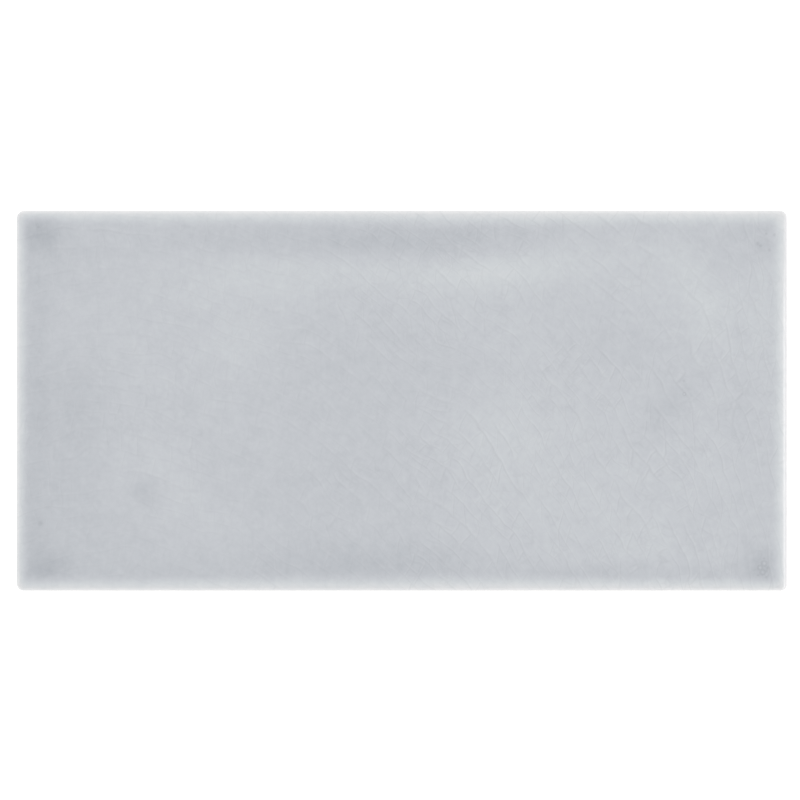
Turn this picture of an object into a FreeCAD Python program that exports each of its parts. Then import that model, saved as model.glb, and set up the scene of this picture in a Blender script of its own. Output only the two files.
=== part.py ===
import FreeCAD, Part
import math
import os

# A pressed and glazed wall tile, lying on its back with the glazed face up.
# Millimetres. +X runs along the length, +Y across the width and +Z out of the glazed face.
# The origin is the middle of the back, in the plane of the keying ribs.

# Outline, measured round the widest level, and the height of the plain middle of the face
length = 152.0
width = 75.0
thickness = 8.0

# Plan radius of each corner, which glazing by hand leaves a little uneven
corner_radius_far_left = 1.5
corner_radius_far_right = 1.35
corner_radius_near_left = 1.45
corner_radius_near_right = 1.3

# The sides lean in towards the back, so that the pressed tile leaves its mould
side_draft_degrees = 1.5
back_arris = 0.4

# Cushioned edge of the face: how far in it starts, how far it falls and how round it is, and
# the small radius that rolls it over into the sides
cushion_width = 3.6
cushion_fall = 1.5
cushion_power = 2.8
cushion_corner_power = 6.0
rim_radius = 0.6

# Keying relief of the back: drafted round-cornered pockets between ribs, inside a plain border
pockets_along = 8
pockets_across = 4
border_width = 5.0
rib_width = 2.6
pocket_depth = 0.8
pocket_draft_degrees = 30.0
pocket_corner_radius = 1.0

# Broad swells and hollows of the face. The place is in shares of the half length and half width,
# so that it follows the outline. Reach and rise are in millimetres and the turn is in degrees:
# (place along, place across, reach along, reach across, turn, rise)
swells = {
    "hollow inside the far edge": (-0.04, 0.83, 19, 2.6, -1, -0.105),
    "right end of the far hollow": (0.32, 0.90, 14, 1.8, 3, -0.06),
    "ridge beside the hollow": (-0.13, 0.68, 15, 2.4, 0, 0.085),
    "ridge of the right half": (0.25, 0.68, 10, 2.6, 7, 0.14),
    "shoulder of the left half": (-0.47, 0.64, 14, 4, 0, 0.05),
    "crown of the left half": (-0.43, 0.31, 5, 4, 20, 0.07),
    "crown at the left": (-0.68, 0.40, 12, 9, 0, 0.03),
    "dip of the middle": (-0.07, 0.16, 14, 7, -10, -0.03),
    "crown right of the middle": (0.24, -0.17, 8, 6, -35, 0.065),
    "broad dip before the middle": (-0.16, -0.43, 20, 9, 0, -0.03),
    "dip above the right crown": (0.55, 0.28, 7, 4, -20, -0.045),
    "crescent of the right half": (0.68, 0.00, 7, 2.8, 50, -0.075),
    "arc at the right": (0.77, 0.57, 3, 8, 30, 0.10),
    "broad crown of the near right": (0.50, -0.53, 22, 9, 0, 0.025),
    "hollow inside the near edge": (-0.08, -0.86, 17, 3.2, 0, -0.11),
    "right end of the near hollow": (0.55, -0.91, 22, 1.6, 0, -0.07),
    "hollow inside the left edge": (-0.92, -0.01, 3, 13, 0, -0.12),
    "crown of the near left": (-0.64, -0.28, 5, 3.5, -20, 0.035),
    "crown round the pit": (-0.64, -0.51, 6, 5, 0, 0.045),
    "small pit of the near left": (-0.66, -0.48, 2, 2, 0, -0.13),
    "crown beside the pit": (-0.50, -0.63, 6, 3.5, -40, 0.05),
    "dip of the near left": (-0.84, -0.59, 7, 4.5, -10, -0.045),
    "pool of the far left corner": (-0.93, 0.88, 3.2, 2.4, -20, -0.17),
    "pool of the near left corner": (-0.93, -0.88, 3, 2.2, 15, -0.19),
    "pool of the near right corner": (0.94, -0.88, 2.6, 2.6, 20, -0.17),
    "pool of the far right corner": (0.93, 0.85, 3.6, 2.6, -30, -0.08),
}

# The face is a cubic spline surface: spacing of its knots in the middle and over the rolled edges
face_degree = 3
face_spacing = 3.0
edge_spacing = 0.6

# How far a cutter reaches past what it cuts
cutter_overrun = 1.0


def swell_height(x, y):
    """Sum of smooth round-topped swells, each a bell over its own reach and turned its own way."""
    height = 0.0
    for along, across, reach_along, reach_across, turn, rise in swells.values():
        offset_x = x - along * length / 2
        offset_y = y - across * width / 2
        cosine, sine = math.cos(math.radians(turn)), math.sin(math.radians(turn))
        u = (offset_x * cosine + offset_y * sine) / reach_along
        v = (offset_y * cosine - offset_x * sine) / reach_across
        height += rise * math.exp(-(u * u + v * v) / 2)
    return height


def edge_share(position, half_side):
    """0 inside the plain middle of the face, rising to 1 at the edge and past 1 beyond it."""
    inset = half_side - abs(position)
    return max(0.0, 1.0 - inset / cushion_width)


def face_height(x, y):
    """Height of the glazed face: plain middle, swells, and the fall of the cushioned edge."""
    along = edge_share(x, length / 2) ** cushion_corner_power
    across = edge_share(y, width / 2) ** cushion_corner_power
    share = (along + across) ** (1 / cushion_corner_power)
    return thickness + swell_height(x, y) - cushion_fall * share ** cushion_power


def even_steps(start, end, spacing):
    """Evenly spaced places from start up to, but without, end."""
    count = max(1, math.ceil((end - start) / spacing))
    return [start + (end - start) * step / count for step in range(count)]


def face_places(half_side):
    """Places across one side: close together over the rolled edges and wide between them."""
    outside = half_side + cutter_overrun
    inside = half_side - cushion_width
    places = even_steps(-outside, -inside, edge_spacing)
    places += even_steps(-inside, inside, face_spacing)
    places += even_steps(inside, outside, edge_spacing)
    return places + [outside]


def control_places(knots):
    """Where a spline's control points go so that it runs evenly: running means of its knots."""
    ends = face_degree - 1
    held = [knots[0]] * ends + knots + [knots[-1]] * ends
    return [sum(held[start:start + face_degree]) / face_degree for start in range(len(held) - ends)]


def knot_repeats(knots):
    """Each knot counts once, except the two ends, where the surface stops."""
    return [face_degree + 1] + [1] * (len(knots) - 2) + [face_degree + 1]


def space_under_face():
    """Solid with the wavy cushioned face on top, a little larger than the tile all round."""
    knots_x = face_places(length / 2)
    knots_y = face_places(width / 2)
    poles = []
    for x in control_places(knots_x):
        poles.append([FreeCAD.Vector(x, y, face_height(x, y)) for y in control_places(knots_y)])
    surface = Part.BSplineSurface()
    surface.buildFromPolesMultsKnots(
        poles, knot_repeats(knots_x), knot_repeats(knots_y), knots_x, knots_y,
        False, False, face_degree, face_degree,
    )
    depth = thickness + cutter_overrun
    return surface.toShape().extrude(FreeCAD.Vector(0, 0, -2 * depth))


def frustum(low_length, low_width, high_length, high_width, low_z, high_z):
    """Block with four flat leaning sides, standing centred on the Z axis."""
    block = Part.makeWedge(
        -low_length / 2, low_z, -low_width / 2, -high_width / 2, -high_length / 2,
        low_length / 2, high_z, low_width / 2, high_width / 2, high_length / 2,
    )
    block.rotate(FreeCAD.Vector(0, 0, 0), FreeCAD.Vector(1, 0, 0), 90)
    return block


def upright_edge(block, side_x, side_y):
    """The leaning corner edge of a frustum on the given side of X and Y."""
    for edge in block.Edges:
        middle = edge.CenterOfMass
        spans_height = edge.BoundBox.ZLength > block.BoundBox.ZLength / 2
        if spans_height and middle.x * side_x > 0 and middle.y * side_y > 0:
            return edge


def drafted_body():
    """Tile body with leaning sides, rounded corners and a small arris round the back."""
    widest_level = thickness - cushion_fall
    lean = math.tan(math.radians(side_draft_degrees))
    top = thickness + cutter_overrun
    shrink = 2 * lean * widest_level
    grow = 2 * lean * (top - widest_level)
    block = frustum(length - shrink, width - shrink, length + grow, width + grow, 0.0, top)
    corners = (
        (-1, 1, corner_radius_far_left),
        (1, 1, corner_radius_far_right),
        (-1, -1, corner_radius_near_left),
        (1, -1, corner_radius_near_right),
    )
    for side_x, side_y, radius in corners:
        block = block.makeFillet(radius, [upright_edge(block, side_x, side_y)])
    return block


def rounded_rectangle(long_side, short_side, radius, z):
    """Closed wire with four round corners, level at height z and centred on the Z axis."""
    outline = Part.makePlane(long_side, short_side, FreeCAD.Vector(-long_side / 2, -short_side / 2, z))
    return outline.makeOffset2D(-radius).makeOffset2D(radius).Wires[0]


def keying_pocket(mouth_length, mouth_width):
    """Cutter of one pocket, with its mouth in the back plane and its walls leaning in."""
    lean = pocket_depth * math.tan(math.radians(pocket_draft_degrees))
    mouth = rounded_rectangle(mouth_length, mouth_width, pocket_corner_radius, 0.0)
    floor = rounded_rectangle(
        mouth_length - 2 * lean, mouth_width - 2 * lean, pocket_corner_radius, pocket_depth
    )
    return Part.makeLoft([mouth, floor], True, True)


def keying_pockets():
    """All pockets of the back, evenly spaced inside the plain border."""
    pitch_along = (length - 2 * border_width + rib_width) / pockets_along
    pitch_across = (width - 2 * border_width + rib_width) / pockets_across
    pocket = keying_pocket(pitch_along - rib_width, pitch_across - rib_width)
    pockets = []
    for column in range(pockets_along):
        for row in range(pockets_across):
            x = (column - (pockets_along - 1) / 2) * pitch_along
            y = (row - (pockets_across - 1) / 2) * pitch_across
            pockets.append(pocket.translated(FreeCAD.Vector(x, y, 0)))
    return pockets


def glazed_face(body):
    """The face that looks up, found as the highest one."""
    return max(body.Faces, key=lambda face: face.CenterOfMass.z)


def wall_tile():
    """The whole fired tile as one solid."""
    body = drafted_body()
    back_edges = [edge for edge in body.Edges if edge.BoundBox.ZMax < back_arris / 2]
    body = body.makeChamfer(back_arris, back_edges)
    body = body.common(space_under_face())
    body = body.makeFillet(rim_radius, glazed_face(body).Edges)
    return body.cut(keying_pockets())


tile = wall_tile()
print("solids", len(tile.Solids), "valid", tile.isValid(), "volume", round(tile.Volume))
print("box", tile.BoundBox)
os.makedirs("parts", exist_ok=True)
tile.Solids[0].exportStep("parts/wall_tile.step")
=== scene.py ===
# %% [markdown]
# # A crackle-glazed wall tile
#
# The real object is one slab of white clay, pressed in a mould, flooded with a pale glossy glaze
# and fired. The glaze runs off the edges, pools in the hollows and cracks as it cools. All of that
# is built here round a imported model of the tile, which gives the size and the place. We load that
# model first and keep its box.

# %% Load the plain tile
import bpy
import mathutils
import numpy as np
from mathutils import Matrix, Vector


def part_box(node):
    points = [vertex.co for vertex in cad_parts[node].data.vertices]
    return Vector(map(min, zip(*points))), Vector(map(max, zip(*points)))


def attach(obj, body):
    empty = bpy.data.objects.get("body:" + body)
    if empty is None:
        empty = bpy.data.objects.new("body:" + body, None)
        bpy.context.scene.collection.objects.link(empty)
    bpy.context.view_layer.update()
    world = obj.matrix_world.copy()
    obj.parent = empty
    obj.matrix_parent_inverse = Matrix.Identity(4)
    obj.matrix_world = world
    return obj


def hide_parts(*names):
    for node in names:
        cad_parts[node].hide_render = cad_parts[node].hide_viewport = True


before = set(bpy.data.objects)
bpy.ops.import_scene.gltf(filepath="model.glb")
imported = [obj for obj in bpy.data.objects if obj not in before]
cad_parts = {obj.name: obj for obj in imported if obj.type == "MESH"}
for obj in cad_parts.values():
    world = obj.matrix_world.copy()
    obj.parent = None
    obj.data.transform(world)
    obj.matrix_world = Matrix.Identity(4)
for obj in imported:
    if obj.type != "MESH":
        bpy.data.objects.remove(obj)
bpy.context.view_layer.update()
tile_low, tile_high = (np.array(corner) * 1000 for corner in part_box("wall_tile"))
half_length, half_width = tile_high[:2]
print("plain tile, mm:", tile_low.round(2), tile_high.round(2))

# %% [markdown]
# ## The outline
#
# Seen from above the tile is a rectangle with four small round corners, each a little different
# because it was fettled by hand. Everything that follows is carried round this outline, so we
# want it as two arrays: points, and the directions that look straight out of them. Each side runs
# from the middle of one corner to the middle of the next: half an arc, a straight, half an arc.
# We work in millimetres, like the maker, and change to metres only when the mesh is made.

# %% The outline as points and outward directions
corner_radii = {"near_left": 1.45, "near_right": 1.3, "far_right": 1.35, "far_left": 1.5}
steps_per_half_corner = 5
steps_long, steps_short = 256, 128
crowding_at_ends = 0.11


def straight_shares(count):
    """Places 0 to 1 along a straight, close together at both ends: a ramp less a small sine."""
    ramp = np.linspace(0, 1, count + 1)
    return ramp - crowding_at_ends * np.sin(2 * np.pi * ramp)


def one_side(start, end, radius_start, radius_end, count):
    """Half an arc, a straight and half an arc, from one corner's middle to the next corner's."""
    along = (end - start) / np.linalg.norm(end - start)
    outward = np.array([along[1], -along[0]])
    turn = np.linspace(-np.pi / 4, 0, steps_per_half_corner + 1)[:, None]
    first = start + radius_start * (along - outward)
    last = end - radius_end * (along + outward)
    ways_in = np.cos(turn) * outward + np.sin(turn) * along
    ways_out = (np.cos(turn) * outward - np.sin(turn) * along)[::-1]
    shares = straight_shares(count - 2 * steps_per_half_corner)[1:-1, None]
    begin, finish = first + radius_start * outward, last + radius_end * outward
    straight = begin + (finish - begin) * shares
    points = np.vstack([first + radius_start * ways_in, straight, last + radius_end * ways_out])
    ways = np.vstack([ways_in, np.repeat(outward[None], len(straight), 0), ways_out])
    return points, ways


corners = {
    "near_left": np.array([-half_length, -half_width]),
    "near_right": np.array([half_length, -half_width]),
    "far_right": np.array([half_length, half_width]),
    "far_left": np.array([-half_length, half_width]),
}
names = list(corners)
sides = []
for name, following, steps in zip(names, names[1:] + names[:1], [steps_long, steps_short] * 2):
    sides.append(one_side(corners[name], corners[following], corner_radii[name],
                          corner_radii[following], steps))
rim = np.vstack([points[:-1] for points, ways in sides])
outward = np.vstack([ways[:-1] for points, ways in sides])
travel = np.cumsum(np.linalg.norm(rim - np.roll(rim, 1, 0), axis=1))
print("outline points:", len(rim), "girth, mm:", round(travel[-1], 1))

# %% [markdown]
# ## The face
#
# A pressed face is never dead flat. This one has a long hollow just inside the far edge with a
# ridge beside it, low crowns and dips elsewhere, and it falls away in a soft cushion at the rim.
# We write the height as a formula of x and y: a bell curve for each swell, added up, less a
# power curve that grows towards the edge. A hollow also holds more glaze and so looks darker,
# which is why the same list is used again when the colour is worked out. There the swells by the
# far edge also carry a painted reflection, lighter on the ridge and darker in the hollow. The
# molten glaze levels itself a little, so not quite all of a swell of the clay is left on top.

# %% Swells and cushion of the face
# Place and reach in mm, turn in degrees, and how far the face rises there in mm
swells = {
    # The hollow inside the far edge and the ridges beside it are also painted darker and lighter in
    # the colour, as a painted reflection.
    "hollow inside the far edge": (-3, 31.0, 19, 2.6, -1, -0.105),
    "far hollow, right end": (20, 33.4, 12, 1.8, 3, -0.05),
    "far hollow, left end": (-34, 31.5, 10, 2.5, 0, -0.02),
    "ridge beside the hollow": (-10, 25.6, 15, 2.4, 0, 0.085),
    "ridge, bright right half": (19, 25.4, 10, 2.6, 7, 0.13),
    "ridge, right tail": (42, 28, 10, 3, -4, 0.03),
    "shoulder of the left half": (-36, 24, 14, 4, 0, 0.05),
    "patch under the ridge": (-23, 20.5, 5, 2, 0, 0.04),
    "crown of the left half": (-33, 11.5, 5, 4, 20, 0.07),
    "crown at the left": (-54, 14, 10, 8, 0, 0.02),
    "dip of the far left": (-62, 26.5, 11, 6, 0, -0.03),
    "dip of the middle": (-5, 6, 14, 7, -10, -0.03),
    "dip right of the middle": (11, 6, 4.5, 4.5, 0, -0.035),
    "crown right of the middle": (18.5, -6.5, 8, 6, -35, 0.055),
    "broad dip before the middle": (-12, -16, 20, 9, 0, -0.03),
    "dip above the right crown": (42, 10.5, 7, 4, -20, -0.045),
    "crescent of the right half": (52.6, -1, 7.5, 2.6, 46, -0.072),
    "arc at the right": (58.0, 21.5, 3, 8, 30, 0.09),
    "arc at the right, lower": (60.5, 10, 2.5, 6, 10, 0.03),
    "dip outside the arc": (66.5, -1, 3, 9, 0, -0.03),
    "rise at the right end": (70.5, 17, 2.8, 8, 0, 0.045),
    "broad crown of the near right": (38, -20, 22, 9, 0, 0.025),
    "hollow of the near right": (57.5, -23.5, 4.5, 2.6, 30, -0.035),
    "crown of the near right": (50, -28.5, 4, 2.5, 0, 0.03),
    "hollow inside the near edge": (-6, -32.3, 17, 3.2, 0, -0.11),
    "near hollow, right end": (42, -34, 22, 1.6, 0, -0.07),
    "near hollow, left end": (-52, -33.8, 14, 1.8, 0, -0.05),
    "hollow inside the left edge": (-71.8, 5, 1.8, 18, 0, -0.062),
    "hollow up from the near left pool": (-72, -26, 1.7, 6, 0, -0.07),
    "dip at the left": (-65.5, -3, 5.5, 9, 0, -0.075),
    "crown of the near left": (-48.5, -11, 5, 3.5, -20, 0.025),
    "crown round the pit": (-49, -18, 6, 5, 0, 0.042),
    "small pit of the near left": (-50.2, -18.1, 2.4, 2.2, 0, -0.12),
    "crown beside the pit": (-38, -23.5, 6, 3.5, -40, 0.04),
    "dip before the pit": (-50, -27, 10, 3, 0, -0.025),
    "dip of the near left": (-64, -22, 7, 4.5, -10, -0.045),
    "far hollow, right corner": (58, 31, 12, 3.5, -15, -0.03),
    "pool in the far left corner": (-71, 33, 3.2, 2.4, -20, -0.17),
    "pool in the near left corner": (-69.6, -32.6, 3.4, 2.3, 15, -0.17),
    "pool in the near right corner": (70.8, -32.6, 2.6, 2.6, 20, -0.15),
    "hollow up from the near right pool": (69.5, -26, 3, 6, 0, -0.03),
    "pool in the far right corner": (70.5, 32, 3.6, 2.6, -30, -0.08),
}
cushion_width, cushion_fall, cushion_power, cushion_corner_power = 3.6, 1.5, 2.8, 6.0
face_level = 8.0
left_after_levelling = 0.78


def swell_rise(x, y):
    """Sum of turned bell curves: rise times e to the minus half the squared distance in reaches."""
    total = np.zeros_like(x)
    for across, up, reach_x, reach_y, turn, rise in swells.values():
        c, s = np.cos(np.radians(turn)), np.sin(np.radians(turn))
        u = ((x - across) * c + (y - up) * s) / reach_x
        v = ((y - up) * c - (x - across) * s) / reach_y
        total += rise * np.exp(-(u * u + v * v) / 2)
    return total


def edge_share(place, half_side):
    """0 in the plain middle of the face, rising evenly over the cushion to 1 at the outline."""
    return np.clip(1 - (half_side - np.abs(place)) / cushion_width, 0, None)


def face_height(x, y):
    """Plain level plus the swells, less a power of how far into the cushioned edge we are."""
    share = (edge_share(x, half_length) ** cushion_corner_power
             + edge_share(y, half_width) ** cushion_corner_power) ** (1 / cushion_corner_power)
    level = face_level + left_after_levelling * swell_rise(x, y)
    return level - cushion_fall * share ** cushion_power


print("deepest and highest swell, mm:", min(s[-1] for s in swells.values()),
      max(s[-1] for s in swells.values()))

# %% [markdown]
# The face itself is a grid whose four borders are the four sides of the outline, drawn in a
# little. A Coons patch fills the inside: blend the far and near borders, blend the left and right
# borders, add both and take away the blend of the four corner points. It keeps the borders exactly
# and leaves the middle as an even net, which a plain scaled rectangle couldn't do at the corners.

# %% Grid of the face
rim_inset = 0.45


def drawn_in(side, inset):
    """A side of the outline, moved straight inwards."""
    points, ways = side
    return points - inset * ways


def coons(near, right, far, left):
    """Two ruled blends added, less the bilinear blend of the four corner points.

    Near and far run from left to right. Left and right run from the near side to the far one.
    """
    u = ((near[:, 0] - near[0, 0]) / (near[-1, 0] - near[0, 0]))[:, None, None]
    v = ((left[:, 1] - left[0, 1]) / (left[-1, 1] - left[0, 1]))[None, :, None]
    ruled_v = (1 - v) * near[:, None] + v * far[:, None]
    ruled_u = (1 - u) * left[None] + u * right[None]
    bilinear = ((1 - u) * (1 - v) * near[0] + u * (1 - v) * near[-1]
                + (1 - u) * v * far[0] + u * v * far[-1])
    return ruled_v + ruled_u - bilinear


near, right, far, left = (drawn_in(side, rim_inset) for side in sides)
face_xy = coons(near, right, far[::-1], left[::-1])
face_points = np.dstack([face_xy, face_height(face_xy[..., 0], face_xy[..., 1])])
print("face grid:", face_points.shape[:2], "height, mm:",
      face_points[..., 2].min().round(2), "to", face_points[..., 2].max().round(2))

# %% [markdown]
# ## The rolled rim, the sides and the run of the glaze
#
# At the edge the face rolls over into the side. The glaze follows it, runs down two or three
# millimetres and stops in a soft bead, and below that the bare biscuit shows. One profile does all
# of it: how far out and how high, from the face's border down to the back. Each row of the profile
# is carried round the whole outline, and the rows near the bead are lifted and dropped by a slow
# wave, because a glaze never stops in a straight line.

# %% Pieces of the edge profile
side_lean = np.tan(np.radians(1.5))
back_arris = 0.4
glaze_thickness = 0.17
bead_swelling, bead_above_stop, bead_reach, lip_height = 0.06, 0.40, 0.24, 0.12
roll_steps, wall_steps, lip_steps, bare_steps, arris_steps = 6, 10, 3, 5, 3

# The line where the glaze stops: its mean height in mm, and its waves, each as how many of them go
# round the girth, how high they are in mm and where they start in radians
mean_stop = 4.6
stop_waves = ((5, 0.30, 0.4), (11, 0.22, 2.1), (23, 0.16, 4.4), (41, 0.09, 1.0), (83, 0.05, 5.2))


def running_edge(distance, girth):
    """Height at which the glaze stops: a mean level and a few whole waves round the girth."""
    turn = 2 * np.pi * distance / girth
    return mean_stop + sum(size * np.sin(times * turn + shift) for times, size, shift in stop_waves)


def rolled_rim(level, rows):
    """Quadratic curve from the cushion's slope to upright: drawn in, dropped and rounded over."""
    slope = (cushion_fall * cushion_power / cushion_width
             * (1 - rim_inset / cushion_width) ** (cushion_power - 1))
    corner = level - rim_inset * slope
    foot = corner - rim_inset
    t = np.linspace(0, 1, rows + 1)[1:, None]
    inset = (1 - t) ** 2 * rim_inset
    height = (1 - t) ** 2 * level + 2 * t * (1 - t) * corner + t ** 2 * foot
    return np.broadcast_to(inset, height.shape), height


def glazed_side(top, stop, rows):
    """Leaning wall: the glaze thins as it runs down, then swells into a bead where it stops."""
    t = np.linspace(0, 1, rows + 1)[1:, None]
    height = top + (stop + lip_height - top) * t
    thinned = bead_swelling * (1 - (1 - t) ** 3)
    bead = bead_swelling * np.exp(-((height - stop - bead_above_stop) / bead_reach) ** 2)
    return np.maximum(0, side_lean * (top - height) + thinned - bead), height


def lip_of_glaze(top, stop, rows):
    """Quarter round that tucks the bead in under itself, onto the biscuit."""
    turn = np.linspace(0, np.pi / 2, rows + 1)[1:, None]
    start = side_lean * (top - stop) + bead_swelling
    tuck = glaze_thickness - bead_swelling
    return start + tuck * (1 - np.cos(turn)), stop + lip_height * (1 - np.sin(turn))


def bare_side(top, stop, rows):
    """Biscuit wall from the glaze down to the small arris, then the arris itself."""
    t = np.linspace(0, 1, rows + 1)[1:, None]
    height = stop + (back_arris - stop) * t
    inset = side_lean * (top - height) + glaze_thickness
    foot_turn = np.linspace(0, np.pi / 2, arris_steps + 1)[1:, None]
    foot_inset = inset[-1:] + back_arris * (1 - np.cos(foot_turn))
    foot_height = np.broadcast_to(back_arris * (1 - np.sin(foot_turn)), foot_inset.shape)
    return np.vstack([inset, foot_inset]), np.vstack([height, foot_height])


print("glaze stops near, mm:", mean_stop, "with", len(stop_waves), "waves round the tile")

# %% [markdown]
# The four pieces of the profile are worked out one below the other, each starting where the last
# one ended. A row of it is two numbers for every point of the outline, how far in and how high. So
# carrying it round needs no turning: each row is the outline, less the inset times the outward
# direction, at its own height.

# %% Carry the profile round the outline
rim_level = face_height(*(rim - rim_inset * outward).T)
glaze_stop = running_edge(travel, travel[-1])
roll_inset, roll_height = rolled_rim(rim_level, roll_steps)
wall_top = roll_height[-1]
glazed = [(roll_inset, roll_height), glazed_side(wall_top, glaze_stop, wall_steps),
          lip_of_glaze(wall_top, glaze_stop, lip_steps)]
bare = [bare_side(wall_top, glaze_stop, bare_steps)]


def carried(profile):
    """Rows of points: each profile row moved in from the outline and set at its height."""
    inset, height = (np.vstack(part) for part in zip(*profile))
    return np.dstack([rim[None] - inset[..., None] * outward[None], height])


glazed_rows, bare_rows = carried(glazed), carried(bare)
print("rows of glaze and of biscuit:", len(glazed_rows), len(bare_rows),
      "glaze stops between", glaze_stop.min().round(2), "and", glaze_stop.max().round(2), "mm")

# %% [markdown]
# ## The back
#
# Adhesive has to grip the back, so the mould leaves drafted pockets between ribs. The whole back is
# one grid again. Its squares are read as eight by four cells, and inside each cell we take the
# larger of the two distances from the middle as a ring number. A short table says how big, how
# deep and how round each ring is, so one formula makes land, wall and floor of every pocket.

# %% Grid of the back with its pockets
pockets_long, pockets_short = 8, 4
border_width, rib_width, pocket_depth = 5.0, 2.6, 0.8
pocket_lean = np.tan(np.radians(30))
pocket_corner = 1.0
cell_length = (2 * half_length - 2 * border_width + rib_width) / pockets_long
cell_width = (2 * half_width - 2 * border_width + rib_width) / pockets_short

# Ring number from the middle of a cell to its border: inset from the border, depth, roundness
ring_marks = np.array([0, 0.62, 0.75, 0.8125, 0.875, 1])
ring_insets = rib_width / 2 + np.array([9, 1.2, pocket_lean * pocket_depth, 0.06, 0, -rib_width / 2])
ring_depths = np.array([pocket_depth, pocket_depth, pocket_depth, 0.08, 0, 0])
ring_roundness = np.array([0, 0.4, pocket_corner, pocket_corner, pocket_corner, 0])


def cell_offsets(s, t):
    """Square rings, pushed to each ring's size, with their corners drawn in to an arc."""
    ring = np.maximum(np.abs(s), np.abs(t))
    size_x = cell_length / 2 - np.interp(ring, ring_marks, np.minimum(ring_insets, cell_length / 2))
    size_y = cell_width / 2 - np.interp(ring, ring_marks, np.minimum(ring_insets, cell_width / 2))
    safe = np.where(ring > 0, ring, 1)
    x, y = size_x * s / safe, size_y * t / safe
    radius = np.interp(ring, ring_marks, ring_roundness)
    over_x = np.clip(np.abs(x) - (size_x - radius), 0, None)
    over_y = np.clip(np.abs(y) - (size_y - radius), 0, None)
    reach = np.hypot(over_x, over_y)
    pull = np.where(reach > radius, radius / np.where(reach > 0, reach, 1), 1)
    x = np.sign(x) * (np.abs(x) - over_x * (1 - pull))
    y = np.sign(y) * (np.abs(y) - over_y * (1 - pull))
    return x, y, np.interp(ring, ring_marks, ring_depths)


def back_grid():
    """Every point of the back, from which cell it is in and where in that cell."""
    u = np.linspace(0, pockets_long, steps_long + 1)
    v = np.linspace(0, pockets_short, steps_short + 1)
    cell_u = np.minimum(np.floor(u), pockets_long - 1)
    cell_v = np.minimum(np.floor(v), pockets_short - 1)
    s, t = np.meshgrid(2 * (u - cell_u) - 1, 2 * (v - cell_v) - 1, indexing="ij")
    x, y, depth = cell_offsets(s, t)
    x += ((cell_u + 0.5 - pockets_long / 2) * cell_length)[:, None]
    y += ((cell_v + 0.5 - pockets_short / 2) * cell_width)[None]
    return np.dstack([x, y, depth])


back_points = back_grid()
print("back grid:", back_points.shape[:2], "deepest pocket, mm:", back_points[..., 2].max())

# %% [markdown]
# ## One closed skin
#
# Face, edge rows and back now meet along two loops that have the same number of points, so they
# can be joined with no gap and no doubled points. We give every point of the three sheets a number
# and list the squares between them. Squares of the back are turned over, so that all of them look
# outwards.

# %% Join the sheets into one list of points and squares
def border_loop(numbers):
    """The border of a grid of point numbers, once round, starting at the near left corner."""
    return np.concatenate([numbers[:-1, 0], numbers[-1, :-1], numbers[:0:-1, -1], numbers[0, :0:-1]])


def grid_squares(numbers):
    """Four point numbers for each square of a grid, anticlockwise from above."""
    return np.stack([numbers[:-1, :-1], numbers[1:, :-1], numbers[1:, 1:], numbers[:-1, 1:]],
                    axis=-1).reshape(-1, 4)


def band_squares(loops):
    """Squares between loops that lie one below the other, looking outwards."""
    following = np.roll(loops, -1, axis=1)
    return np.stack([loops[:-1], loops[1:], following[1:], following[:-1]], axis=-1).reshape(-1, 4)


def numbered(points, first):
    """Numbers for a sheet's points, counted on from first."""
    return first + np.arange(points[..., 0].size).reshape(points.shape[:-1])


face_numbers = numbered(face_points, 0)
glazed_numbers = numbered(glazed_rows, face_numbers.size)
bare_numbers = numbered(bare_rows, glazed_numbers.max() + 1)
back_numbers = numbered(back_points, bare_numbers.max() + 1)
sheets = (face_points, glazed_rows, bare_rows, back_points)
points = np.vstack([sheet.reshape(-1, 3) for sheet in sheets])
glazed_loops = np.vstack([border_loop(face_numbers)[None], glazed_numbers])
bare_loops = np.vstack([glazed_numbers[-1:], bare_numbers, border_loop(back_numbers)[None]])
glaze_squares = np.vstack([grid_squares(face_numbers), band_squares(glazed_loops)])
biscuit_squares = np.vstack([band_squares(bare_loops), grid_squares(back_numbers)[:, ::-1]])
squares = np.vstack([glaze_squares, biscuit_squares])
print("points:", len(points), "triangles:", 2 * len(squares))

# %% [markdown]
# ## A flat map of the skin
#
# The patterns below don't need a map, but anyone who bakes them into a picture does. We lay the
# skin out like a hide: the face in the upper half with the glazed edge folded out round it, and
# the back in the lower half with the bare sides folded out. Folding out is easy here, because each
# edge point knows its outward direction and how far down the profile it is.

# %% Lay the skin out flat
map_margin = 0.006


def unfolded(start, loops):
    """Plan places of edge rows: the start, moved outwards by the way travelled down the rows."""
    gone = np.cumsum(np.linalg.norm(np.diff(loops, axis=0), axis=2), axis=0)
    return start + gone[..., None] * outward


glaze_plan = points[:, :2].copy()
glaze_plan[glazed_numbers] = unfolded(rim - rim_inset * outward, points[glazed_loops])
bare_plan = points[:, :2] * [1, -1]
rising_loops = bare_loops[-2::-1]
bare_plan[rising_loops[1:]] = unfolded(bare_rows[-1, :, :2], points[rising_loops]) * [1, -1]
glaze_reach = glaze_plan[glazed_numbers].reshape(-1, 2).max(0)
bare_reach = np.abs(bare_plan[rising_loops[-1]]).max(0)
glaze_scale = (1 - 2 * map_margin) / (2 * glaze_reach[0])
room_left = 1 - 3 * map_margin - 2 * glaze_reach[1] * glaze_scale
bare_scale = room_left / (2 * bare_reach[1])
glaze_map = 0.5 + glaze_plan * glaze_scale
glaze_map[:, 1] += 0.5 - map_margin - glaze_reach[1] * glaze_scale
bare_map = 0.5 + bare_plan * bare_scale
bare_map[:, 1] += map_margin + bare_reach[1] * bare_scale - 0.5
corner_maps = np.vstack([glaze_map[glaze_squares.ravel()], bare_map[biscuit_squares.ravel()]])
print("share of the map, across and up:", np.ptp(corner_maps, axis=0).round(3),
      "lowest", corner_maps.min(0).round(4), "highest", corner_maps.max(0).round(4))
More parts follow.
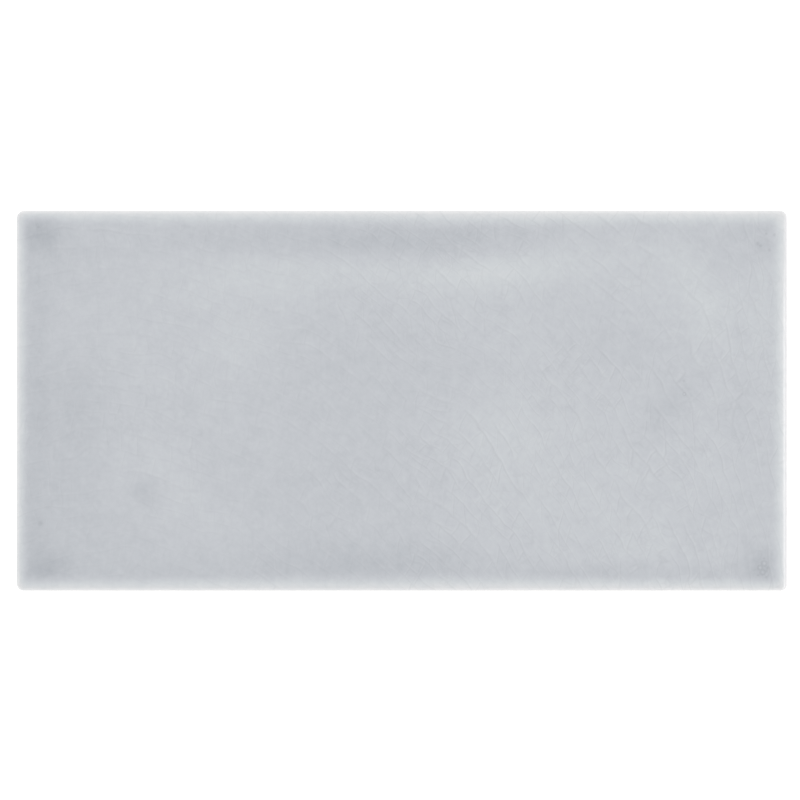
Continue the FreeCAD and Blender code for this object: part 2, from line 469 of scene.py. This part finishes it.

# %% [markdown]
# ## How thick the glaze lies, and the light painted into it
#
# The colour of a glaze is mostly its thickness: it is thin and shows the white clay on the rim,
# and thick and cool grey where it pools. The same number also carries painted light: a painted
# highlight on the rolled rim, and a painted reflection by the far edge, lighter on the ridge and
# darker in the hollow. We work it out for every point while we still have the arrays, and store it
# on the mesh, where the material can read it. It starts at one, grows in the hollows, shrinks on
# the ridges and fades to almost nothing on the rolled rim. It also falls a little towards the right
# end, so the right half is a shade lighter.

# %% Thickness of the glaze, with its painted light, at every point
# How far in the thin glaze and the painted highlight of the rolled rim reach, in mm, at even steps
# along each side, from left to right or from near to far
thin_and_highlight_reach = {
    "left": (3.1, 2.7, 2.8, 3.2, 3.1, 2.9, 3.3),
    "right": (3.9, 3.5, 3.5, 3.4, 3.6, 3.7, 3.9),
    "near": (3.7, 3.2, 3.8, 4.4, 3.9, 3.4, 3.3),
    "far": (2.9, 3.4, 3.7, 3.7, 4.2, 3.7, 3.8),
}
# How steeply the thin glaze and the painted highlight fade inwards from the rim, and how squarely they
# turn the corners
thin_and_highlight_power, thin_and_highlight_corner_power = 1.6, 3
# What a mm of swell takes off, as pooling and as painted reflection, how uneven the rim's reach is,
# and how much is taken off towards the right end, over what width
pooling_and_painted_reflection = 2.2
unevenness = 0.035
right_end_lightening, right_end_lightening_width = 0.024, 10.0


def reach_along(side, place, half_side):
    """The reach at a place: even runs between the side's listed values, and two small waves."""
    reaches = thin_and_highlight_reach[side]
    even = np.interp(place, np.linspace(-half_side, half_side, len(reaches)), reaches)
    waves = np.sin(place / 2.3 + even) + 0.7 * np.sin(place / 1.1 + 2 * even)
    return even * (1 + unevenness * waves)


def thin_and_highlight_share(x, y):
    """1 at the outline, falling to 0 over the reach of that side, and turning round the corners."""
    reach_x = np.where(x < 0, reach_along("left", y, half_width), reach_along("right", y, half_width))
    reach_y = np.where(y < 0, reach_along("near", x, half_length), reach_along("far", x, half_length))
    share_x = np.clip(1 - (half_length - np.abs(x)) / reach_x, 0, 1)
    share_y = np.clip(1 - (half_width - np.abs(y)) / reach_y, 0, 1)
    share = (share_x ** thin_and_highlight_corner_power + share_y ** thin_and_highlight_corner_power) ** (1 / thin_and_highlight_corner_power)
    return np.clip(share, 0, 1) ** thin_and_highlight_power


def glaze_depth_and_painted_light(x, y):
    """One, less the thin glaze and painted highlight at the rim, what ran off each swell with its
    painted reflection, and a skew towards the right end.
    """
    skew = right_end_lightening * np.tanh(x / right_end_lightening_width)
    return 1 - thin_and_highlight_share(x, y) - pooling_and_painted_reflection * swell_rise(x, y) - skew


depth = glaze_depth_and_painted_light(points[:, 0], points[:, 1])
print("glaze depth from", depth.min().round(2), "to", depth.max().round(2))

# %% [markdown]
# ## Make the mesh
#
# Blender takes the arrays as they are. Two materials are named now and mixed below: one for the
# squares that the glaze covers, one for bare biscuit. The piece rides on the one body there is and
# stands for the plain tile.

# %% Make the mesh
glaze = bpy.data.materials.new("crackle_glaze")
biscuit = bpy.data.materials.new("white_biscuit")
sharp_degrees = 35


def skin_mesh(name):
    """The points and squares as a mesh in metres, with its map, its depths and its two finishes."""
    mesh = bpy.data.meshes.new(name)
    mesh.from_pydata(points / 1000, [], squares)
    mesh.uv_layers.new(name="OFBake").data.foreach_set("uv", corner_maps.ravel())
    mesh.attributes.new("glaze_depth_and_painted_light", "FLOAT", "POINT").data.foreach_set("value", depth)
    for material in (glaze, biscuit):
        mesh.materials.append(material)
    which = np.repeat([0, 1], [len(glaze_squares), len(biscuit_squares)])
    mesh.polygons.foreach_set("material_index", which)
    mesh.polygons.foreach_set("use_smooth", np.ones(len(squares), bool))
    mesh.set_sharp_from_angle(angle=np.radians(sharp_degrees))
    mesh.update()
    return mesh


tile = bpy.data.objects.new("glazed_tile", skin_mesh("glazed_tile"))
bpy.context.scene.collection.objects.link(tile)
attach(tile, "root")
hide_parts("wall_tile")
print("made", tile.name, "with", len(tile.data.polygons), "squares")

# %% [markdown]
# ## A few helpers for mixing finishes
#
# A finish is a recipe of small nodes. Writing each one out in full hides the recipe, so these
# helpers add one node each and hand back its output. A value that is the same all over the piece
# goes straight onto the shader and needs none of them.

# %% Helpers for a recipe
class Recipe:
    """Adds nodes to one material. Each call returns the new node's output."""

    def __init__(self, material):
        material.use_nodes = True
        self.nodes = material.node_tree.nodes
        self.links = material.node_tree.links
        self.shader = self.nodes["Principled BSDF"]

    def feed(self, socket, value):
        """Link another node's output, or set a plain value."""
        if isinstance(value, bpy.types.NodeSocket):
            self.links.new(value, socket)
        else:
            socket.default_value = value

    def add(self, kind, settings, values, output=0):
        """One node of a kind, with its settings and what goes into its sockets."""
        node = self.nodes.new("ShaderNode" + kind)
        for name, value in settings.items():
            setattr(node, name, value)
        for key, value in values.items():
            self.feed(node.inputs[key], value)
        return node.outputs[output]

    def calc(self, operation, first, second=0.0):
        """One sum on plain numbers."""
        return self.add("Math", {"operation": operation}, {0: first, 1: second})

    def vector(self, operation, first, second, output=0):
        """One sum on places. Output 1 is a length."""
        return self.add("VectorMath", {"operation": operation}, {0: first, 1: second}, output)

    def split(self, place):
        """The X, Y and Z of a place."""
        node = self.nodes.new("ShaderNodeSeparateXYZ")
        self.feed(node.inputs[0], place)
        return node.outputs

    def eased(self, value, low, high, out_low=0.0, out_high=1.0):
        """Smooth step of a value from out_low at low to out_high at high."""
        limits = {"From Min": low, "From Max": high, "To Min": out_low, "To Max": out_high}
        return self.add("MapRange", {"interpolation_type": "SMOOTHSTEP"}, {"Value": value, **limits})

    def noise(self, where, pitch, detail=2.0, dimensions="3D", output=0):
        """Soft noise with lumps about one pitch apart. Output 1 is three noises, as a colour."""
        source = "W" if dimensions == "1D" else "Vector"
        values = {source: where, "Scale": 1 / pitch, "Detail": detail}
        return self.add("TexNoise", {"noise_dimensions": dimensions}, values, output)

    def mix(self, share, low, high):
        """Colour between low and high."""
        node = self.nodes.new("ShaderNodeMix")
        node.data_type = "RGBA"
        for socket, value in zip((node.inputs[0], node.inputs[6], node.inputs[7]), (share, low, high)):
            self.feed(socket, value)
        return node.outputs[2]


def millimetres(recipe):
    """The place on the piece, in millimetres."""
    place = recipe.add("TexCoord", {}, {}, "Object")
    return recipe.vector("MULTIPLY", place, (1000, 1000, 1000))


print("finishes to mix:", glaze.name, "and", biscuit.name)

# %% [markdown]
# ## The crackle
#
# A glaze that shrinks more than its clay cracks as it cools. Long cracks come first. Here they run
# as wide arcs round a spot far beyond the near edge, and stand steeper towards the right end.
# Short cracks then bridge the gaps and stop dead at the long ones. A second family does the same
# round a spot so far away that it looks nearly straight, and crosses the first at a slant. A fine
# net of polygons fills in between. Each crack could be drawn as a curve, but there are thousands.
# So we count instead. The distance to the spot, bent by noise and divided by the pitch, has a long
# crack at every whole number. The whole part of that count is the strip that we are in, and gives
# each strip its own shift, so that the bridges of neighbours never line up.

# %% Lines from a count
# Each spot is a place in mm, far beyond the near edge and to the left. Its stretch turns the
# circles round it into ovals.
cooling_spot, cooling_stretch = (-63.0, -251.0, 0.0), (1.42, 0.79, 0.0)
second_spot, second_stretch = (-200.0, -330.0, 0.0), (1.0, 1.0, 0.0)
# Pitch of the long cracks and of the bridges of each family, and of the net, in mm
first_pitches, second_pitches, net_pitch = (2.3, 3.1), (2.9, 3.7), 1.7
# Where along the tile the arcs begin and end to steepen, how much, and round which level, in mm
steep_from, steep_to, steep_share, steep_level = 32.0, 66.0, 0.6, -15.0
# Half the width of the dark line and of the light line, and how far apart they run, in mm
dark_half_wide, light_half_wide, light_beside = 0.25, 0.28, 0.32


def crack_line(recipe, count, pitch, half_wide):
    """1 on the whole numbers of a count, fading to 0 at half_wide millimetres from them."""
    away = recipe.calc("MULTIPLY", recipe.calc("PINGPONG", count, 0.5), pitch)
    return recipe.eased(away, half_wide, 0.0)


def line_pair(recipe, count, pitch, shown):
    """The dark line of a crack and the light line beside it, where the crack is shown."""
    beside = recipe.calc("SUBTRACT", count, light_beside / pitch)
    dark = crack_line(recipe, count, pitch, dark_half_wide)
    light = crack_line(recipe, beside, pitch, light_half_wide)
    return recipe.calc("MULTIPLY", dark, shown), recipe.calc("MULTIPLY", light, shown)


def strayed(recipe, place, pitch, reach, detail=1.0):
    """The place, moved sideways by soft noise: the most it moves is about half the reach."""
    away = recipe.vector("SUBTRACT", recipe.noise(place, pitch, detail, output=1), (0.5, 0.5, 0.5))
    return recipe.vector("ADD", place, recipe.vector("MULTIPLY", away, (reach, reach, 0)))


def steepened(recipe, place):
    """The place, drawn together in Y towards the right end, where the arcs then stand steeper."""
    x, y, z = recipe.split(place)
    drawn = recipe.eased(x, steep_from, steep_to, 1.0, steep_share)
    height = recipe.calc("SUBTRACT", y, steep_level)
    height = recipe.calc("ADD", recipe.calc("MULTIPLY", height, drawn), steep_level)
    return recipe.add("CombineXYZ", {}, {0: x, 1: height})


print("half widths of the lines, mm:", dark_half_wide, light_half_wide, "apart:", light_beside)

# %% [markdown]
# Now the cracks of one family. A long crack changes along its run: slow noise brings it out here
# and fades it there. A bridge is faint or strong as a whole, so that is drawn by lot, from the
# number of its strip and its own number in that strip.

# %% One family of cracks
# How uneven the gaps are: pitch of the noise, and how much of a gap it adds
gap_pitch, gap_share = 8.0, 0.9
# Pitch of the noise along a crack, how far apart it is read for two cracks, and the most that the
# bridges of a strip are shifted
run_pitch, runs_apart, most_shifted = 6.5, 31.0, 17.0
bridge_pitch = 2.3
# Noise or chance from and to, and how strongly a crack shows at these two
long_range, bridge_range = (0.38, 0.60, 0.2, 0.88), (0.2, 0.9, 0.0, 0.85)


def arc_cracks(recipe, place, spot, stretch, long_pitch, short_pitch):
    """Long cracks as arcs round a spot and the short ones that bridge them, as dark and light lines.

    The count is the distance over the long pitch. Bridges are counted by the angle times the
    strip's number, which is the way along the strip, over the short pitch.
    """
    flat = recipe.vector("MULTIPLY", recipe.vector("SUBTRACT", place, spot), stretch)
    distance = recipe.vector("LENGTH", flat, (0, 0, 0), output=1)
    x, y, z = recipe.split(flat)
    angle = recipe.calc("ARCTAN2", y, x)
    girth = recipe.calc("MULTIPLY", angle, distance)
    uneven = recipe.calc("MULTIPLY", recipe.noise(distance, gap_pitch, 1.0, "1D"), gap_share)
    count = recipe.calc("ADD", recipe.calc("DIVIDE", distance, long_pitch), uneven)
    own_row = recipe.calc("MULTIPLY", recipe.calc("ROUND", count), runs_apart)
    along = recipe.add("CombineXYZ", {}, {0: girth, 1: own_row})
    long_shown = recipe.eased(recipe.noise(along, run_pitch, 3.0), *long_range)
    long_dark, long_light = line_pair(recipe, count, long_pitch, long_shown)

    strip = recipe.calc("FLOOR", count)
    shift = recipe.add("TexWhiteNoise", {"noise_dimensions": "1D"}, {"W": strip})
    rows = recipe.calc("MULTIPLY", recipe.calc("MULTIPLY", angle, strip), long_pitch / short_pitch)
    rows = recipe.calc("ADD", rows, recipe.calc("MULTIPLY", shift, most_shifted))
    skew = recipe.calc("SUBTRACT", shift, 0.5)
    rows = recipe.calc("ADD", rows, recipe.calc("MULTIPLY", recipe.calc("FRACT", count), skew))
    rows = recipe.calc("ADD", rows, recipe.noise(rows, bridge_pitch, 1.0, "1D"))
    pair = recipe.add("CombineXYZ", {}, {0: strip, 1: recipe.calc("ROUND", rows)})
    chance = recipe.add("TexWhiteNoise", {"noise_dimensions": "2D"}, {"Vector": pair})
    short_shown = recipe.eased(chance, *bridge_range)
    short_dark, short_light = line_pair(recipe, rows, short_pitch, short_shown)
    return (recipe.calc("MAXIMUM", long_dark, short_dark),
            recipe.calc("MAXIMUM", long_light, short_light))


print("pitches, mm:", first_pitches, "and", second_pitches)

# %% [markdown]
# The two families and the net are laid over each other by taking the strongest line at each place.
# Nothing about them is quite even, so the place is bent first, once broadly and once finely, and
# three more slow noises say where the second family, the net and the whole crackle come out.

# %% The whole crackle
# Pitch of the noise that bends the cracks and how far it moves them, in mm, and its detail
broad_bend, fine_bend = (30.0, 13.5, 3.5), (2.6, 0.4)
second_range, net_range = (0.42, 0.6, 0.0, 0.7), (0.43, 0.62, 0.0, 0.6)
# The crackle comes and goes in broad patches, and is fainter on the left: x from and to, in mm
patch_range, left_to_right = (0.35, 0.65, 0.55, 1.0), (-55.0, 25.0, 0.64, 1.05)
second_patches, net_patches, broad_patches = 9.0, 3.0, 21.0


def crackle(recipe, place):
    """All cracks of the glaze: the dark lines, and the light lines that run beside them."""
    bent = strayed(recipe, strayed(recipe, place, *broad_bend), *fine_bend)
    steep = steepened(recipe, bent)
    dark, light = arc_cracks(recipe, steep, cooling_spot, cooling_stretch, *first_pitches)
    second_dark, second_light = arc_cracks(recipe, bent, second_spot, second_stretch, *second_pitches)
    second_shown = recipe.eased(recipe.noise(place, second_patches, 2.0), *second_range)

    cells = {"Vector": bent, "Scale": 1 / net_pitch}
    net = recipe.add("TexVoronoi", {"feature": "DISTANCE_TO_EDGE"}, cells)
    net_lines = recipe.eased(recipe.calc("MULTIPLY", net, net_pitch), dark_half_wide, 0.0)
    net_shown = recipe.eased(recipe.noise(place, net_patches, 2.0), *net_range)

    dark = recipe.calc("MAXIMUM", dark, recipe.calc("MULTIPLY", second_dark, second_shown))
    dark = recipe.calc("MAXIMUM", dark, recipe.calc("MULTIPLY", net_lines, net_shown))
    light = recipe.calc("MAXIMUM", light, recipe.calc("MULTIPLY", second_light, second_shown))
    patches = recipe.eased(recipe.noise(place, broad_patches, 1.0), *patch_range)
    x, y, z = recipe.split(place)
    faint = recipe.calc("MULTIPLY", patches, recipe.eased(x, *left_to_right))
    return recipe.calc("MULTIPLY", dark, faint), recipe.calc("MULTIPLY", light, faint)


print("crackle comes out in patches, mm:", second_patches, net_patches, broad_patches)

# %% [markdown]
# ## The glaze
#
# Pale cool grey, glassy and a little uneven. The stored depth, with some lumps of noise added,
# picks the colour between the white of the clay and the grey of the pools, and with it the painted
# highlight of the rim and the painted reflection by the far edge. A picture of a glaze would be
# quicker, but it has one size and shows its seams. Noise that is read at each place has neither.
# The fire also left a few pits and bubbles, most of them in the corners, and the light middles of
# the bubbles are painted glints, one of them on a small nick. There are so few that each is placed
# one by one.

# %% Colours and marks of the glaze
# The palest colour is the rim's: thin glaze over white clay, with a painted highlight of the rolled
# rim. The light and the deep colours also paint the reflection by the far edge, lighter on the ridge
# and darker in the hollow.
thin_glaze_and_highlight = (0.741, 0.740, 0.746, 1)
light_glaze = (0.583, 0.610, 0.632, 1)
mean_glaze = (0.529, 0.549, 0.582, 1)
deep_glaze = (0.395, 0.418, 0.453, 1)
# From which depth to which, and the colour that is reached there
colour_steps = ((0.0, 0.72, light_glaze), (0.72, 1.0, mean_glaze), (1.0, 1.6, deep_glaze))

# Lumps of mottle, grain and slow cloud: their size in mm, their detail and how much they add
depth_lumps = ((2.4, 4.0, 0.33), (1.0, 2.0, 0.28), (8.0, 1.0, 0.08))

# Pits and bubbles that the fire left: x, y and radius in mm
pinhole_places = (
    (71.9, -32.9, 0.46), (71.7, -33.5, 0.42), (71.6, -34.7, 0.36), (70.0, -34.3, 0.28),
    (71.2, -31.0, 0.30), (69.9, 30.9, 0.46), (70.5, 30.5, 0.40), (72.2, 29.6, 0.44),
    (71.6, 32.8, 0.32), (73.2, 32.6, 0.38), (-71.0, -24.1, 0.60), (-71.4, 34.1, 0.36),
    (55.4, 3.9, 0.36),
)
# Each bubble is drawn as a dark ring round a light middle, a painted glint; the last one is a glint on
# a small nick.
bubble_places = (
    (71.2, -32.0, 0.50), (70.4, -32.8, 0.46), (70.9, -33.7, 0.50), (55.5, 1.3, 0.30),
)
# Where the search for the nearest mark starts, in radii
far_from_marks = 9.0


def glaze_colour(recipe, place):
    """Thin glaze through mean to deep, by the stored depth with its painted light, and the lumps that
    are added to it.
    """
    depth = recipe.add("Attribute", {"attribute_name": "glaze_depth_and_painted_light"}, {}, "Fac")
    for pitch, detail, share in depth_lumps:
        lump = recipe.calc("SUBTRACT", recipe.noise(place, pitch, detail), 0.5)
        depth = recipe.calc("ADD", depth, recipe.calc("MULTIPLY", lump, share))
    colour = thin_glaze_and_highlight
    for start, end, following in colour_steps:
        share = recipe.add("MapRange", {}, {"Value": depth, "From Min": start, "From Max": end})
        colour = recipe.mix(share, colour, following)
    return colour


def nearest_mark(recipe, place, marks):
    """Distance to the nearest of the listed marks, counted in radii of its own."""
    nearest = far_from_marks
    for x, y, radius in marks:
        away = recipe.vector("SUBTRACT", place, (x, y, face_level))
        level = recipe.vector("MULTIPLY", away, (1, 1, 0))
        across = recipe.vector("LENGTH", level, (0, 0, 0), output=1)
        nearest = recipe.calc("MINIMUM", nearest, recipe.calc("DIVIDE", across, radius))
    return nearest


def fire_marks(recipe, place):
    """Dark parts: pinholes and the rings of bubbles. Light parts: painted glints in the middles of the
    bubbles.
    """
    hole = recipe.eased(nearest_mark(recipe, place, pinhole_places), 1.2, 0.2)
    bubble = nearest_mark(recipe, place, bubble_places)
    ring = recipe.eased(recipe.calc("ABSOLUTE", recipe.calc("SUBTRACT", bubble, 1.0)), 0.6, 0.0)
    middle = recipe.eased(bubble, 0.6, 0.0)
    return recipe.calc("MAXIMUM", hole, ring), middle


print("pits and bubbles:", len(pinhole_places), len(bubble_places))

# %% [markdown]
# All of it goes onto one shader. The cracks are mixed in as thin dark lines with a light line
# beside them, where the crack's wall catches the light. They are also pressed into the surface as a
# bump, with a slow ripple that keeps the reflections from looking machined. Pressing them into the
# mesh would take squares a tenth of a millimetre wide, for a step that the eye can't see.

# %% Mix the glaze
crack_shade = (0.20, 0.21, 0.23, 1)
crack_shine = (0.86, 0.865, 0.87, 1)
# How strongly the cracks, the light beside them, the pits and the bubbles' middles show
crack_strength, beside_strength, pit_strength, gleam_strength = 0.118, 0.066, 0.17, 0.12
rough_range, rough_pitch = (0.3, 0.7, 0.10, 0.16), 5.0
# Height of the ripple and depth of a crack, in metres
ripple_pitch, ripple_height, crack_depth = 6.0, 0.00004, 0.0000025


def mix_glaze(material):
    """All of the above on one shader: colour, gloss, and the cracks and ripple as a bump."""
    recipe = Recipe(material)
    place = millimetres(recipe)
    dark, light = crackle(recipe, place)
    pit, gleam = fire_marks(recipe, place)
    colour = glaze_colour(recipe, place)
    marks = ((dark, crack_strength, crack_shade), (light, beside_strength, crack_shine),
             (pit, pit_strength, crack_shade), (gleam, gleam_strength, crack_shine))
    for share, strength, tint in marks:
        colour = recipe.mix(recipe.calc("MULTIPLY", share, strength), colour, tint)
    recipe.feed(recipe.shader.inputs["Base Color"], colour)
    recipe.feed(recipe.shader.inputs["Roughness"],
                recipe.eased(recipe.noise(place, rough_pitch, 3.0), *rough_range))
    recipe.shader.inputs["IOR"].default_value = 1.5
    ripple = recipe.calc("MULTIPLY", recipe.noise(place, ripple_pitch, 1.0), ripple_height)
    height = recipe.calc("SUBTRACT", ripple, recipe.calc("MULTIPLY", dark, crack_depth))
    bump = recipe.add("Bump", {}, {"Strength": 1.0, "Distance": 1.0, "Height": height})
    recipe.feed(recipe.shader.inputs["Normal"], bump)


mix_glaze(glaze)
print("glaze recipe:", len(glaze.node_tree.nodes), "nodes")

# %% [markdown]
# ## The biscuit
#
# The bare clay of the sides and the back is off-white and chalky. It has a fine grain, darker
# specks, and faint smudges from the kiln shelf. Two noises do it: a slow one for the smudges and a
# fine one that gives specks, roughness and bump together, as one grain of sand does.

# %% Mix the biscuit
pale_clay, smudged_clay = (0.74, 0.72, 0.675, 1), (0.66, 0.635, 0.59, 1)
speck = (0.55, 0.53, 0.49, 1)
smudge_pitch, grain_pitch, grain_height = 14.0, 0.35, 0.00005
smudge_range, speck_range, rough_clay = (0.35, 0.7), (0.62, 0.78, 0.0, 0.35), (0.3, 0.7, 0.78, 0.92)


def mix_biscuit(material):
    """Chalky clay: smudges, specks and grain, with no gloss."""
    recipe = Recipe(material)
    place = millimetres(recipe)
    smudge = recipe.noise(place, smudge_pitch, 3.0)
    colour = recipe.mix(recipe.eased(smudge, *smudge_range), pale_clay, smudged_clay)
    grain = recipe.noise(place, grain_pitch, 3.0)
    colour = recipe.mix(recipe.eased(grain, *speck_range), colour, speck)
    recipe.feed(recipe.shader.inputs["Base Color"], colour)
    recipe.feed(recipe.shader.inputs["Roughness"], recipe.eased(grain, *rough_clay))
    height = recipe.calc("MULTIPLY", grain, grain_height)
    bump = recipe.add("Bump", {}, {"Strength": 0.6, "Distance": 1.0, "Height": height})
    recipe.feed(recipe.shader.inputs["Normal"], bump)


mix_biscuit(biscuit)
print("biscuit recipe:", len(biscuit.node_tree.nodes), "nodes")

# %% [markdown]
# ## The floor
#
# The tile lies on a white sheet that glows a little, as a sheet of lit acrylic does, so that no
# shadow rings it from above. Stronger lamps could bleach a plain floor as well, but they would
# bleach the pale rim of the tile with it.

# %% Floor
floor_reach, floor_level, floor_glow = 3.0, -0.00002, 0.4


def plain_floor():
    """A wide square just under the tile, white and faintly glowing."""
    square = np.array([(-1, -1, 0), (1, -1, 0), (1, 1, 0), (-1, 1, 0)]) * floor_reach
    square = square + (0, 0, floor_level)
    mesh = bpy.data.meshes.new("floor")
    mesh.from_pydata(square, [], [(0, 1, 2, 3)])
    sheet = bpy.data.materials.new("lit_acrylic")
    sheet.use_nodes = True
    shader = sheet.node_tree.nodes["Principled BSDF"]
    shader.inputs["Base Color"].default_value = (0.8, 0.8, 0.8, 1)
    shader.inputs["Roughness"].default_value = 0.8
    shader.inputs["Emission Color"].default_value = (1, 1, 1, 1)
    shader.inputs["Emission Strength"].default_value = floor_glow
    mesh.materials.append(sheet)
    floor = bpy.data.objects.new("floor", mesh)
    bpy.context.scene.collection.objects.link(floor)
    return floor


plain_floor()
print("floor:", floor_reach * 2, "m across, glow", floor_glow)

# %% [markdown]
# ## The light
#
# The light is even and soft, with no hard shadow, so a white room does most of the work. A glaze
# needs something to mirror, or it looks like paper, so a soft grey band runs round the room part of
# the way up, as the far wall of a real room would. One strong lamp would be simpler, but it would
# draw a hard edge.

# %% White room
room_strength = 1.045
# Height up the room, from level to overhead, and how white it is there
room_stops = ((0.0, 1.0), (0.10, 1.0), (0.19, 0.62), (0.27, 0.62), (0.42, 1.0))


def white_room():
    """White all round, with a soft grey band part of the way up, as between desk and ceiling."""
    world = bpy.data.worlds.new("white_room")
    world.use_nodes = True
    nodes, links = world.node_tree.nodes, world.node_tree.links
    way = nodes.new("ShaderNodeTexCoord")
    parts = nodes.new("ShaderNodeSeparateXYZ")
    ramp = nodes.new("ShaderNodeValToRGB")
    ramp.color_ramp.interpolation = "EASE"
    while len(ramp.color_ramp.elements) < len(room_stops):
        ramp.color_ramp.elements.new(0.5)
    for element, (height, level) in zip(ramp.color_ramp.elements, room_stops):
        element.position = height
        element.color = (level, level, level, 1)
    links.new(way.outputs["Generated"], parts.inputs[0])
    links.new(parts.outputs["Z"], ramp.inputs[0])
    links.new(ramp.outputs[0], nodes["Background"].inputs["Color"])
    nodes["Background"].inputs["Strength"].default_value = room_strength
    return world


bpy.context.scene.world = white_room()
bpy.context.scene.view_settings.view_transform = "Standard"
print("room strength:", room_strength, "stops:", len(room_stops))

# %% [markdown]
# Long low panels stand beside the tile and light its rolled rim, with two short ones where that rim
# is brightest. Two small windows in the corners of the room are seen in the glaze only from the
# side, and show there how wavy and how glossy it is.

# %% Panels and windows
# Name, place and aim in metres, width and height in metres, power in watts
panels = (
    ("panel_far", (-0.1, 0.95, 0.11), (-0.1, 0, 0), 0.9, 0.18, 0.18),
    ("panel_left", (-0.95, 0, 0.11), (0, 0, 0), 0.7, 0.18, 0.16),
    ("window_far_left", (-0.26, 0.95, 0.11), (-0.26, 0, 0), 0.18, 0.18, 0.12),
    ("window_far_middle", (0.06, 0.95, 0.11), (0.06, 0, 0), 0.14, 0.18, 0.06),
    ("panel_right", (0.95, -0.38, 0.11), (0, -0.38, 0), 0.9, 0.18, 1.5),
    ("window_left_corner", (-0.77, 0.77, 0.50), (0, 0, 0), 0.15, 0.11, 0.15),
    ("window_right_corner", (0.82, -0.82, 0.31), (0, 0, 0), 0.16, 0.07, 0.035),
)


def soft_panel(name, place, aim, width, height, power):
    """A rectangular light at a place in metres, turned to look at aim."""
    light = bpy.data.lights.new(name, "AREA")
    light.shape = "RECTANGLE"
    light.size, light.size_y, light.energy = width, height, power
    panel = bpy.data.objects.new(name, light)
    panel.location = place
    way = np.array(aim) - np.array(place)
    panel.rotation_euler = mathutils.Vector(way).to_track_quat("-Z", "Y").to_euler()
    panel.visible_camera = False
    bpy.context.scene.collection.objects.link(panel)
    return panel


for panel in panels:
    soft_panel(*panel)
print("lights:", [name for name, *rest in panels])

# %% [markdown]
# ## The camera
#
# The photo looks straight down through a long lens, so that hardly any of the sides shows. It
# could be matched by eye. It is quicker to measure where the tile's middle and ends lie in the
# picture, in pixels, and to work back from them to the camera's place.

# %% Camera
photo_side = 800
tile_centre_px = (401.85, 400.7)
tile_span_px = 771.0
# Lens and sensor in mm, and the level at which the tile is widest, in metres
lens, sensor = 100.0, 36.0
widest_level = 0.0065

px_per_mm = tile_span_px / (2 * half_length)
view_height = photo_side / px_per_mm * lens / sensor / 1000 + widest_level
camera = bpy.data.objects.new("camera", bpy.data.cameras.new("camera"))
camera.data.lens, camera.data.sensor_width = lens, sensor
camera.location = (-(tile_centre_px[0] - photo_side / 2) / px_per_mm / 1000,
                   (tile_centre_px[1] - photo_side / 2) / px_per_mm / 1000, view_height)
bpy.context.scene.collection.objects.link(camera)
bpy.context.scene.camera = camera
print("camera at", [round(v, 4) for v in camera.location])
